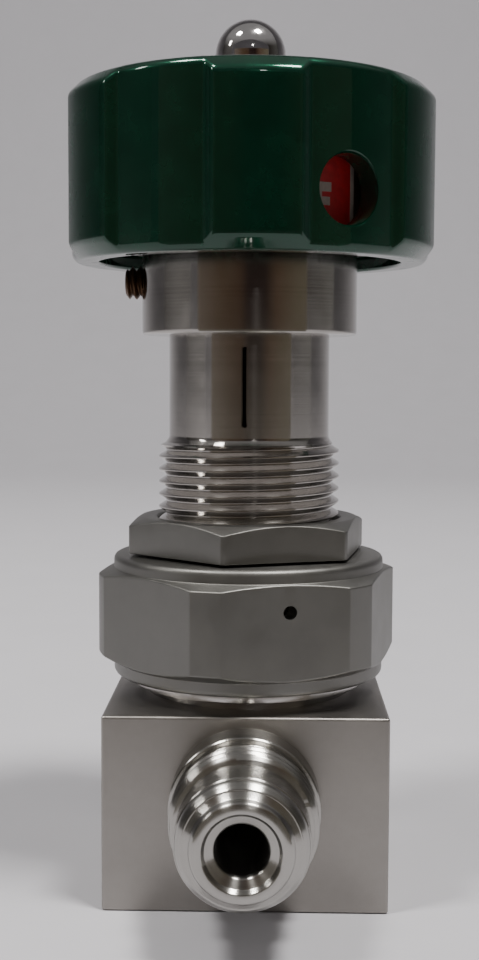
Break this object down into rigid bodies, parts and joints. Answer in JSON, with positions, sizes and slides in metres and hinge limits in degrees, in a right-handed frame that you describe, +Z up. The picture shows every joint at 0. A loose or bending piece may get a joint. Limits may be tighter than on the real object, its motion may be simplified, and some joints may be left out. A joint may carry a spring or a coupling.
{
  "type": "needle valve",
  "caption": "Bellows-sealed needle valve with in-line face-seal ports, hex bonnet nut, panel nut, polished neck and round green indicator knob.",
  "frame": {"origin": "bottom centre of the square body block", "axes": "+Z up along the stem axis, -Y out of the front (inlet) port, +Y out of the rear (outlet) port, +X to the right seen from the front"},
  "size_m": [0.038, 0.0588, 0.0905],
  "materials": {
    "body_steel": "brushed stainless steel, satin",
    "polished_steel": "electropolished stainless steel, mirror-like with fine turning rings",
    "sleeve_steel": "turned and polished stainless steel",
    "nut_steel": "satin bead-blasted stainless steel",
    "bellows_steel": "thin bright stainless steel",
    "hardened_steel": "ground hardened steel",
    "gasket_metal": "soft nickel, matte",
    "bronze": "machined bronze",
    "dark_screw": "dark oxidised screw with a bronze tint",
    "seat_polymer": "off-white fluoropolymer",
    "rubber_seal": "black rubber",
    "drum_black": "black anodised, matte",
    "red_label": "printed red label",
    "green_label": "printed green label",
    "green_enamel": "deep glossy dark green enamel"
  },
  "bodies": {
    "valve": {"valve_body": "body_steel", "inlet_fitting": "polished_steel", "outlet_fitting": "polished_steel", "seat_insert": "seat_polymer", "bellows_flange": "polished_steel", "body_gasket": "gasket_metal", "bonnet": "sleeve_steel", "bonnet_nut": "nut_steel", "panel_nut": "nut_steel", "stem_nut": "bronze", "stem_bushing": "bronze", "wiper_ring": "rubber_seal", "collar": "sleeve_steel", "set_screw": "dark_screw", "indicator_drum": "drum_black", "closed_label": "red_label", "open_label": "green_label", "stop_pin": "hardened_steel"},
    "needle_set": {"needle": "polished_steel", "bellows": "bellows_steel", "guide_pin": "hardened_steel", "thrust_ball": "hardened_steel", "retaining_nut": "nut_steel"},
    "knob_set": {"drive_stem": "sleeve_steel", "knob": "green_enamel", "knob_insert": "nut_steel", "knob_washer": "nut_steel", "acorn_nut": "polished_steel"}
  },
  "joints": [
    {"name": "needle_lift", "type": "slide", "parent": "valve", "child": "needle_set", "axis": [0, 0, 1], "range_m": [0, 0.00225], "deforming": ["bellows"]},
    {"name": "knob_turn", "type": "hinge", "parent": "needle_set", "child": "knob_set", "pos_m": [0, 0, 0.075], "axis": [0, 0, 1], "range_deg": [0, 270]}
  ],
  "couplings": [
    {"joint": "needle_lift", "follows": "knob_turn", "m_per_rad": 0.0004774}
  ]
}
